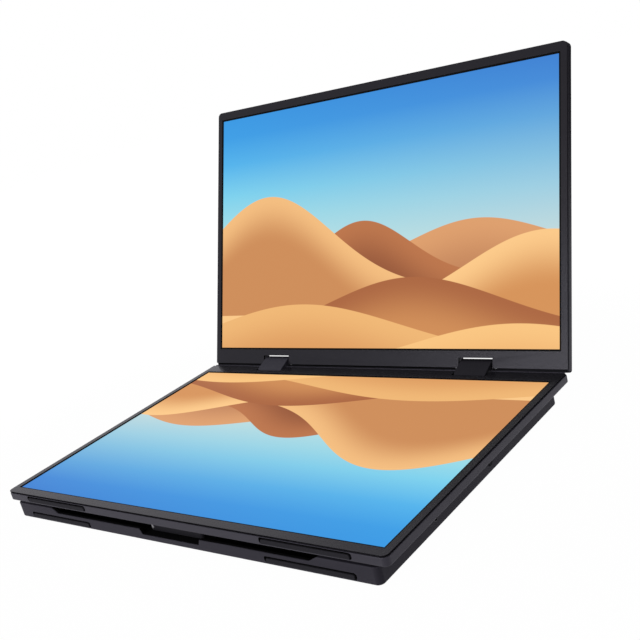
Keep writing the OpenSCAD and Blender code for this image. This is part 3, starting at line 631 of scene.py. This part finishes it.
def litPicture(name, origin, across, up):
    # across and up are unit directions of the picture, and origin is the middle of its lower edge
    t = Tree(name)
    off = t.vectorMaths("SUBTRACT", t.place(), origin, output="Vector")
    u = t.vectorMaths("DOT_PRODUCT", off, across) / picture["wide"]      # -0.5 to 0.5
    v = t.vectorMaths("DOT_PRODUCT", off, up) / picture["high"]          # 0 to 1
    out = t.vectorMaths("DOT_PRODUCT", off, across.cross(up))
    shown = t.blendColour((u + 0.5).clamp(), skySide(t, skyLeft, v), skySide(t, skyRight, v))
    for hill in hills:
        shown = hillOver(t, shown, u, v, hill)
    edge = (u.size() < 0.5) * within(v, 0.0, 1.0) * (out > picture["face"])
    return t.surface({"Base Color": picture["glass"], "Roughness": picture["rough"],
                      "Specular IOR Level": picture["level"], "Emission Strength": picture["light"],
                      "Emission Color": t.blendColour(edge, picture["border"], shown)})


# one finish for each of the record's slots
housingColour = linear((44, 42, 50))
baseColour = linear((47, 45, 53))
bezelColour = linear((22, 21, 25))
materials = {
    "base_shell": mouldedPlastic("baseShell", baseColour, 0.5),
    "housing": mouldedPlastic("housingShell", housingColour, 0.48),
    "bezel": mouldedPlastic("bezelPlate", bezelColour, 0.27, level=0.25),
    "display_glass": mouldedPlastic("displayEdge", linear((20, 20, 22)), 0.4),
    "light_sheet": lightSheet("lightSheet"),
    "steel": brushedMetal("pressedSteel", (0.5, 0.5, 0.51), 0.36),
    "pin_steel": brushedMetal("groundPin", (0.62, 0.62, 0.63), 0.22),
    "black_screw": brushedMetal("blackScrew", (0.05, 0.05, 0.055), 0.4),
    "link": mouldedPlastic("linkCover", linear((38, 37, 44)), 0.5, level=0.3),
    "rubber": softRubber("rubberStrip", linear((24, 23, 27)), 0.75),
    "board": circuitBoard("circuitBoard"),
    "chips": mouldedPlastic("chipEpoxy", linear((36, 36, 38)), 0.5),
    "sockets": brushedMetal("socketShell", (0.6, 0.6, 0.62), 0.3),
    "jack_body": mouldedPlastic("jackNylon", linear((28, 28, 30)), 0.5),
    "button": mouldedPlastic("buttonCap", linear((66, 67, 72)), 0.45),
    "ribbon": ribbonFilm("ribbonFilm"),
    "magnet": brushedMetal("nickelMagnet", (0.7, 0.7, 0.71), 0.25),
    "alloy": brushedMetal("alloySheet", (0.62, 0.63, 0.65), 0.4),
}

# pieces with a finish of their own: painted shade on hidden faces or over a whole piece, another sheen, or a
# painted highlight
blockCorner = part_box("catch_block")[0] + Vector(paintedHighlight["from"])
ownFinish = {
    "lower_housing": mouldedPlastic("lowerHousing", housingColour, 0.48, dark=paintedShadeOfHousing("lower")),
    # the upper housing's plastic is painted darker than the lower one's, as painted shade
    "upper_housing": mouldedPlastic("upperHousing", linear((37, 36, 42)), 0.48, level=0.3,
                                    dark=paintedShadeOfHousing("upper")),
    "lower_bezel": mouldedPlastic("lowerBezel", bezelColour, 0.25, level=0.25, dark=paintedShadeOfBezel("lower")),
    "upper_bezel": mouldedPlastic("upperBezel", bezelColour, 0.3, level=0.24, dark=paintedShadeOfBezel("upper")),
    "base_tray": mouldedPlastic("baseTray", baseColour, 0.55, level=0.22, dark=paintedShadeOfBase),
    "base_cover": mouldedPlastic("baseCover", baseColour, 0.55, level=0.22, dark=paintedShadeOfBase),
    # the catch block is painted darker, as painted shade in the base's pocket, and carries a painted
    # highlight
    "catch_block": mouldedPlastic("catchBlock", linear((22, 21, 25)), 0.55, level=0.3, highlightAt=blockCorner),
    # the right link is painted darker than the left one, as painted shade
    "right_hinge_link": mouldedPlastic("rightLink", linear((22, 21, 25)), 0.5, level=0.15),
    "upper_hinge_brackets": brushedMetal("darkBracket", (0.1, 0.1, 0.105), 0.42),
    "menu_button": mouldedPlastic("menuCap", linear((10, 10, 12)), 0.6, level=0.1),
    "usb_sockets": socketPort("usbPort", "usb_sockets"),
    "hdmi_socket": socketPort("hdmiPort", "hdmi_socket"),
}

for name, obj in nodes.items():
    obj.data.materials.clear()
    obj.data.materials.append(ownFinish.get(name, materials[slotOf[name]]))
print("finishes given to", len(nodes), "nodes")

# a merged copy of each visible shell stands for its node, with its edges rounded by this width, in metres
edgeRound = {
    "lower_housing": 0.00018,
    "upper_housing": 0.00018,
    "lower_bezel": 0.00014,
    "upper_bezel": 0.00014,
    "base_tray": 0.0002,
    "base_cover": 0.00015,
    "left_hinge_link": 0.0003,
    "right_hinge_link": 0.0003,
}
padRound = {       # plain blocks without holes, whose flat faces are joined first
    "catch_block": 0.0004,
    "lower_feet": 0.0003,
    "upper_feet": 0.0003,
    "base_feet": 0.0003,
    "underside_pads": 0.0002,
    "menu_button": 0.00015,
    "power_button": 0.00015,
}
edges = {
    "sharp": math.radians(32.0),         # edges that turn less than this are left as they are
    "segments": 2,
    "flat": math.radians(0.8),           # faces that turn less than this are one face
    "sameFace": 0.99995,                 # cosine between the normals of triangles of one flat face
    "holeFrom": math.radians(180.5),     # a flat face turns this much round a corner of a round hole
    "holeTo": math.radians(215.0),
    "shell": 0.00105,        # edges this near to the piece's outline are its outer ones, in metres
    "rim": 0.0013,           # edges of the low face farther in than this belong to a recess
    "lowFace": 0.0002,
    "sideways": 0.99,        # x of a normal that faces sideways
}


def onRoundHole(edge):
    # an edge of a round hole in a flat face, whose rounding would fold the face's thin triangles
    for flat in edge.link_faces:
        for end in edge.verts:
            turn = sum(corner.calc_angle() for corner in end.link_loops
                       if corner.face.normal.dot(flat.normal) > edges["sameFace"])
            if edges["holeFrom"] < turn < edges["holeTo"]:
                return True
    return False


def ownAxes(name, point):
    # a point in the piece's own upright frame
    if not name.startswith("upper_"):
        return point.copy()
    return Vector((point.x, point.dot(lidUp), point.dot(lidOut)))


def staysSharp(name, edge, sides, height):
    # the edge of a recess in the low face, of a cut-out's side or of a round hole
    inLowFace = height < edges["lowFace"] and min(sides[0], sides[1]) > edges["rim"]
    facesSideways = any(abs(face.normal.x) > edges["sideways"] for face in edge.link_faces)
    cutOut = name.endswith(("housing", "bezel")) and sides[0] > edges["shell"] and facesSideways
    return inLowFace or cutOut or onRoundHole(edge)


def markEdges(name, made, joined):
    # an outer edge gets the bevel's weight, and any other steep edge stays sharp
    places = [ownAxes(name, vert.co) for vert in made.verts]
    low, high = [[pick(place[i] for place in places) for i in range(3)] for pick in (min, max)]
    weight = made.edges.layers.float.new("bevel_weight_edge")
    for edge in made.edges:
        edge.smooth = True
        if not edge.is_manifold or edge.calc_face_angle() < edges["sharp"]:
            continue
        middle = ownAxes(name, (edge.verts[0].co + edge.verts[1].co) / 2)
        sides = [min(middle[i] - low[i], high[i] - middle[i]) for i in range(3)]
        outer = min(sides) < edges["shell"]
        edge.smooth = joined or (outer and not staysSharp(name, edge, sides, middle[2] - low[2]))
        edge[weight] = 1.0 if edge.smooth else 0.0


def standIn(obj, name):
    # the finished object takes the node's place and body
    scene.collection.objects.link(obj)
    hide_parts(name)
    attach(obj, bodyOf[name])


def roundedCopy(name, width, joined=False):
    # a merged copy of the node, bevelled at its outer edges and shaded flat on its flat faces
    mesh = bpy.data.meshes.new(name + "Rounded")
    made = mergedCopy(name)
    if joined:
        bmesh.ops.dissolve_limit(made, angle_limit=edges["flat"], verts=made.verts, edges=made.edges)
    made.normal_update()
    markEdges(name, made, joined)
    for face in made.faces:
        face.smooth = True
    mesh.materials.append(nodes[name].data.materials[0])
    made.to_mesh(mesh)
    made.free()
    obj = bpy.data.objects.new(name + "Rounded", mesh)
    bevel = obj.modifiers.new("edge", "BEVEL")
    bevel.width = width
    bevel.segments = edges["segments"]
    bevel.limit_method = "WEIGHT"
    bevel.use_clamp_overlap = False
    weigh = obj.modifiers.new("flatFaces", "WEIGHTED_NORMAL")
    weigh.keep_sharp = True
    standIn(obj, name)


for name, width in edgeRound.items():
    roundedCopy(name, width)
for name, width in padRound.items():
    roundedCopy(name, width, joined=True)
print("edges rounded on", len(edgeRound) + len(padRound), "pieces")

# cross-recess screws under the base, in the places of the plain ones
screw = {
    "low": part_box("base_screws")[0].z,       # the head's outer face
    "end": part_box("base_screws")[1].z,
    "headHigh": 0.0014,
    "headRadius": 0.0022,
    "headRound": 0.0002,
    "headBend": 0.00006,     # a ring this far in and up rounds the head's edge
    "faceFrom": 0.00008,     # radius of the face's first ring
    "faceRings": 16,
    "shankRadius": 0.0012,
    "rootRadius": 0.00098,
    "pitch": 0.00045,
    "plainNeck": 0.0004,     # from the head to the thread
    "plainTip": 0.0008,
    "tipTaper": 0.0003,
    "tipRadius": 0.0006,
    "crossArm": 0.0013,
    "crossHalf": 0.00028,
    "crossDeep": 0.0009,
    "endWall": 0.00016,      # run of the recess's walls at the end and at the side of an arm
    "sideWall": 0.00012,
    "rise": 0.45,            # how much shallower an arm is at its end
    "around": 64,
}


def screwProfile():
    # radius and height of each ring, from the middle of the head's face to the shank's tip
    s = screw
    neck = s["low"] + s["headHigh"]
    faceRadii = np.linspace(s["faceFrom"], s["headRadius"] - s["headRound"], s["faceRings"])
    face = [(r, s["low"]) for r in faceRadii]
    head = [(s["headRadius"] - s["headBend"], s["low"] + s["headBend"]),
            (s["headRadius"], s["low"] + s["headRound"]), (s["headRadius"], neck), (s["shankRadius"], neck)]
    turns = np.arange(neck + s["plainNeck"], s["end"] - s["plainTip"], s["pitch"])
    thread = [ring for z in turns for ring in ((s["rootRadius"], z), (s["shankRadius"], z + s["pitch"] / 2))]
    tip = [(s["rootRadius"], s["end"] - s["tipTaper"]), (s["tipRadius"], s["end"])]
    return np.array(face + head + thread + tip)


def crossDepth(x, y):
    # depth of the recess: two crossed arms with steep walls, full in the middle and shallower by the square
    # of the distance from it
    s = screw
    arms = []
    for along, aside in ((x, y), (y, x)):
        endWall = (s["crossArm"] - np.abs(along)) / s["endWall"]
        sideWall = (s["crossHalf"] - np.abs(aside)) / s["sideWall"] + 0.5
        arms.append(np.minimum(endWall, sideWall))
    shallower = 1.0 - s["rise"] * (x ** 2 + y ** 2) / s["crossArm"] ** 2
    return np.clip(np.maximum(*arms), 0.0, 1.0) * shallower * s["crossDeep"]


def screwSurface():
    # the profile turned round the screw's axis: x and y are a ring's radius times the cosine and the sine of
    # the turn, z is the ring's height plus the recess's depth on the face, and a point closes either end
    radius, height = screwProfile().T[:, :, None]
    turn = np.linspace(0.0, math.tau, screw["around"], endpoint=False)
    x = radius * np.cos(turn)
    y = radius * np.sin(turn)
    onFace = np.arange(len(radius))[:, None] < screw["faceRings"]
    z = height + crossDepth(x, y) * onFace
    ends = [[0.0, 0.0, screw["low"] + screw["crossDeep"]], [0.0, 0.0, screw["end"]]]
    verts = np.concatenate([np.stack([x, y, z], axis=-1).reshape(-1, 3), ends])
    index = np.arange(x.size).reshape(x.shape)
    after = np.roll(index, -1, axis=1)
    quads = np.stack([index[:-1], index[1:], after[1:], after[:-1]], axis=-1).reshape(-1, 4)
    headFan = np.stack([np.full_like(turn, x.size, dtype=int), index[0], after[0]], axis=-1)
    tipFan = np.stack([np.full_like(turn, x.size + 1, dtype=int), after[-1], index[-1]], axis=-1)
    return verts, quads, np.concatenate([headFan, tipFan])


def baseScrews():
    verts, quads, fans = screwSurface()
    places = [middle * (1, 1, 0) for middle in solidMiddles("base_screws")]
    starts = range(0, len(places) * len(verts), len(verts))
    faces = [face for start in starts for part in (quads, fans) for face in (part + start).tolist()]
    mesh = bpy.data.meshes.new("baseScrewsCut")
    mesh.from_pydata(np.concatenate([verts + place for place in places]).tolist(), [], faces)
    made = bmesh.new()
    made.from_mesh(mesh)
    bmesh.ops.recalc_face_normals(made, faces=made.faces)
    made.to_mesh(mesh)
    made.free()
    mesh.materials.append(materials["black_screw"])
    mesh.shade_smooth()
    mesh.set_sharp_from_angle(angle=edges["sharp"])
    standIn(bpy.data.objects.new("baseScrewsCut", mesh), "base_screws")


baseScrews()
print("screws cut")

# both pictures stand on their hinge edges, so the lower one is upside down from the front
upperFoot = lidPin + lidUp * picture["hingeGap"]
lowerFoot = linkPin - Vector((0.0, picture["hingeGap"], 0.0))
pictures = {
    "upper_display": litPicture("upperPicture", upperFoot, Vector((1, 0, 0)), lidUp),
    "lower_display": litPicture("lowerPicture", lowerFoot, Vector((-1, 0, 0)), Vector((0, -1, 0))),
}
for name, material in pictures.items():
    nodes[name].data.materials.clear()
    nodes[name].data.materials.append(material)
    nodes[name].visible_glossy = False      # the dark case doesn't mirror the lit pictures
    nodes[name].visible_diffuse = False
print("pictures lit")

studio = {
    "floorReach": 3.0,       # half the floor's width, in metres
    "floorGrey": 0.3,
    "floorWhite": 0.965,     # part of the floor's look that is plain white, the rest keeps the shadow
    "paperLight": 1.024,     # a little over 1, so that the lit floor comes out plain white
    "shadowFrom": 0.28,      # the shadow fades out between these distances from the middle
    "shadowTo": 0.62,
    "dimFrom": 0.13,         # painted shade: close to the object the floor that its sheen sees is dimmer
    "dimTo": 0.4,
    "dimLow": 0.78,
    "sheen": (0.965, 0.95, 1.0),     # tint of the surroundings in a reflection
    "fill": 0.2,             # level of the surroundings as light
    "target": (0.0, 0.0, 0.08),
}

# soft lamps: direction from the set, distance, width, radiance, and whether they show in the sheen
lamps = {
    "leftBack": {"toward": (-0.80, 0.42, 0.34), "far": 1.6, "size": 1.1, "radiance": 0.8, "sheen": False},
    "frontLow": {"toward": (-0.28, -0.91, 0.29), "far": 1.6, "size": 0.6, "radiance": 8.5, "sheen": True},
    "front": {"toward": (-0.25, -0.90, 0.34), "far": 1.6, "size": 1.3, "radiance": 0.4, "sheen": False},
    "overhead": {"toward": (0.15, -0.25, 0.95), "far": 1.6, "size": 1.2, "radiance": 1.0, "sheen": False},
    "right": {"toward": (0.52, 0.02, 0.86), "far": 1.6, "size": 0.7, "radiance": 2.5, "sheen": False},
}


def areaLamp(name, lamp):
    # power of a square lamp from its radiance: pi times radiance times area
    toward = Vector(lamp["toward"]).normalized()
    data = bpy.data.lights.new(name, "AREA")
    data.shape = "SQUARE"
    data.size = lamp["size"]
    data.energy = math.pi * lamp["radiance"] * lamp["size"] ** 2
    obj = bpy.data.objects.new(name, data)
    obj.location = Vector(studio["target"]) + toward * lamp["far"]
    obj.rotation_euler = toward.to_track_quat("Z", "Y").to_euler()
    obj.visible_glossy = lamp["sheen"]
    scene.collection.objects.link(obj)


def seenDirectly(t):
    # 1 for what the camera sees, directly or in a reflection or through glass, and 1 for directly alone
    itself, glossy, through = t.node("ShaderNodeLightPath",
                                     output=("Is Camera Ray", "Is Glossy Ray", "Is Transmission Ray"))
    return itself.highest(glossy).highest(through), itself


def flatSheet(name, corners, material):
    # one face between four corners
    mesh = bpy.data.meshes.new(name)
    mesh.from_pydata(corners, [], [(0, 1, 2, 3)])
    mesh.materials.append(material)
    obj = bpy.data.objects.new(name, mesh)
    scene.collection.objects.link(obj)
    return obj


def makeFloor():
    # white paper that keeps a faint shadow near the object, and painted shade near it in what reflections
    # see
    t = Tree("floorPaper")
    away = t.vectorMaths("LENGTH", t.place())
    fade = away.step(studio["shadowFrom"], studio["shadowTo"])
    seen, itself = seenDirectly(t)
    diffuse = t.node("ShaderNodeBsdfDiffuse", None, {"Color": grey(studio["floorGrey"])})
    paper = t.blendColour(itself, studio["sheen"], grey(1.0))
    white = t.node("ShaderNodeEmission", None, {"Color": paper, "Strength": studio["paperLight"]})
    # painted shade round the object in what reflections see
    near = away.step(studio["dimFrom"], studio["dimTo"]) * (1.0 - studio["dimLow"]) + studio["dimLow"]
    shown = seen * (fade * (1.0 - studio["floorWhite"]) + studio["floorWhite"]) * itself.highest(near)
    material = t.close(t.node("ShaderNodeMixShader", None, {0: shown, 1: diffuse, 2: white}))
    s = studio["floorReach"]
    obj = flatSheet("floor", [(-s, -s, 0), (s, -s, 0), (s, s, 0), (-s, s, 0)], material)


def makeWorld():
    # white where it is seen, and a low fill as light
    scene.world = bpy.data.worlds.new("studioWorld")
    t = Tree("studioWorld", scene.world)
    seen, itself = seenDirectly(t)
    soft = t.node("ShaderNodeBackground", None, {"Color": grey(studio["fill"])})
    around = t.blendColour(itself, studio["sheen"], grey(1.0))
    white = t.node("ShaderNodeBackground", None, {"Color": around})
    t.close(t.node("ShaderNodeMixShader", None, {0: seen, 1: soft, 2: white}))


card = {"middle": (0.41, 0.69, 0.0), "across": (0.90, -0.415, 0.0), "half": 0.4, "high": 0.7, "grey": 0.004}


def darkCard():
    # a flag that only the sheen of the upper screen's right edge sees
    middle = Vector(card["middle"])
    across = Vector(card["across"]).normalized() * card["half"]
    up = Vector((0, 0, card["high"]))
    t = Tree("cardBlack")
    material = t.close(t.node("ShaderNodeBsdfDiffuse", None, {"Color": grey(card["grey"])}))
    corners = [middle - across, middle + across, middle + across + up, middle - across + up]
    obj = flatSheet("darkCard", corners, material)
    obj.visible_camera = False
    obj.visible_diffuse = False
    obj.visible_shadow = False


makeFloor()
makeWorld()
darkCard()
for name, lamp in lamps.items():
    areaLamp(name, lamp)
print("studio set")
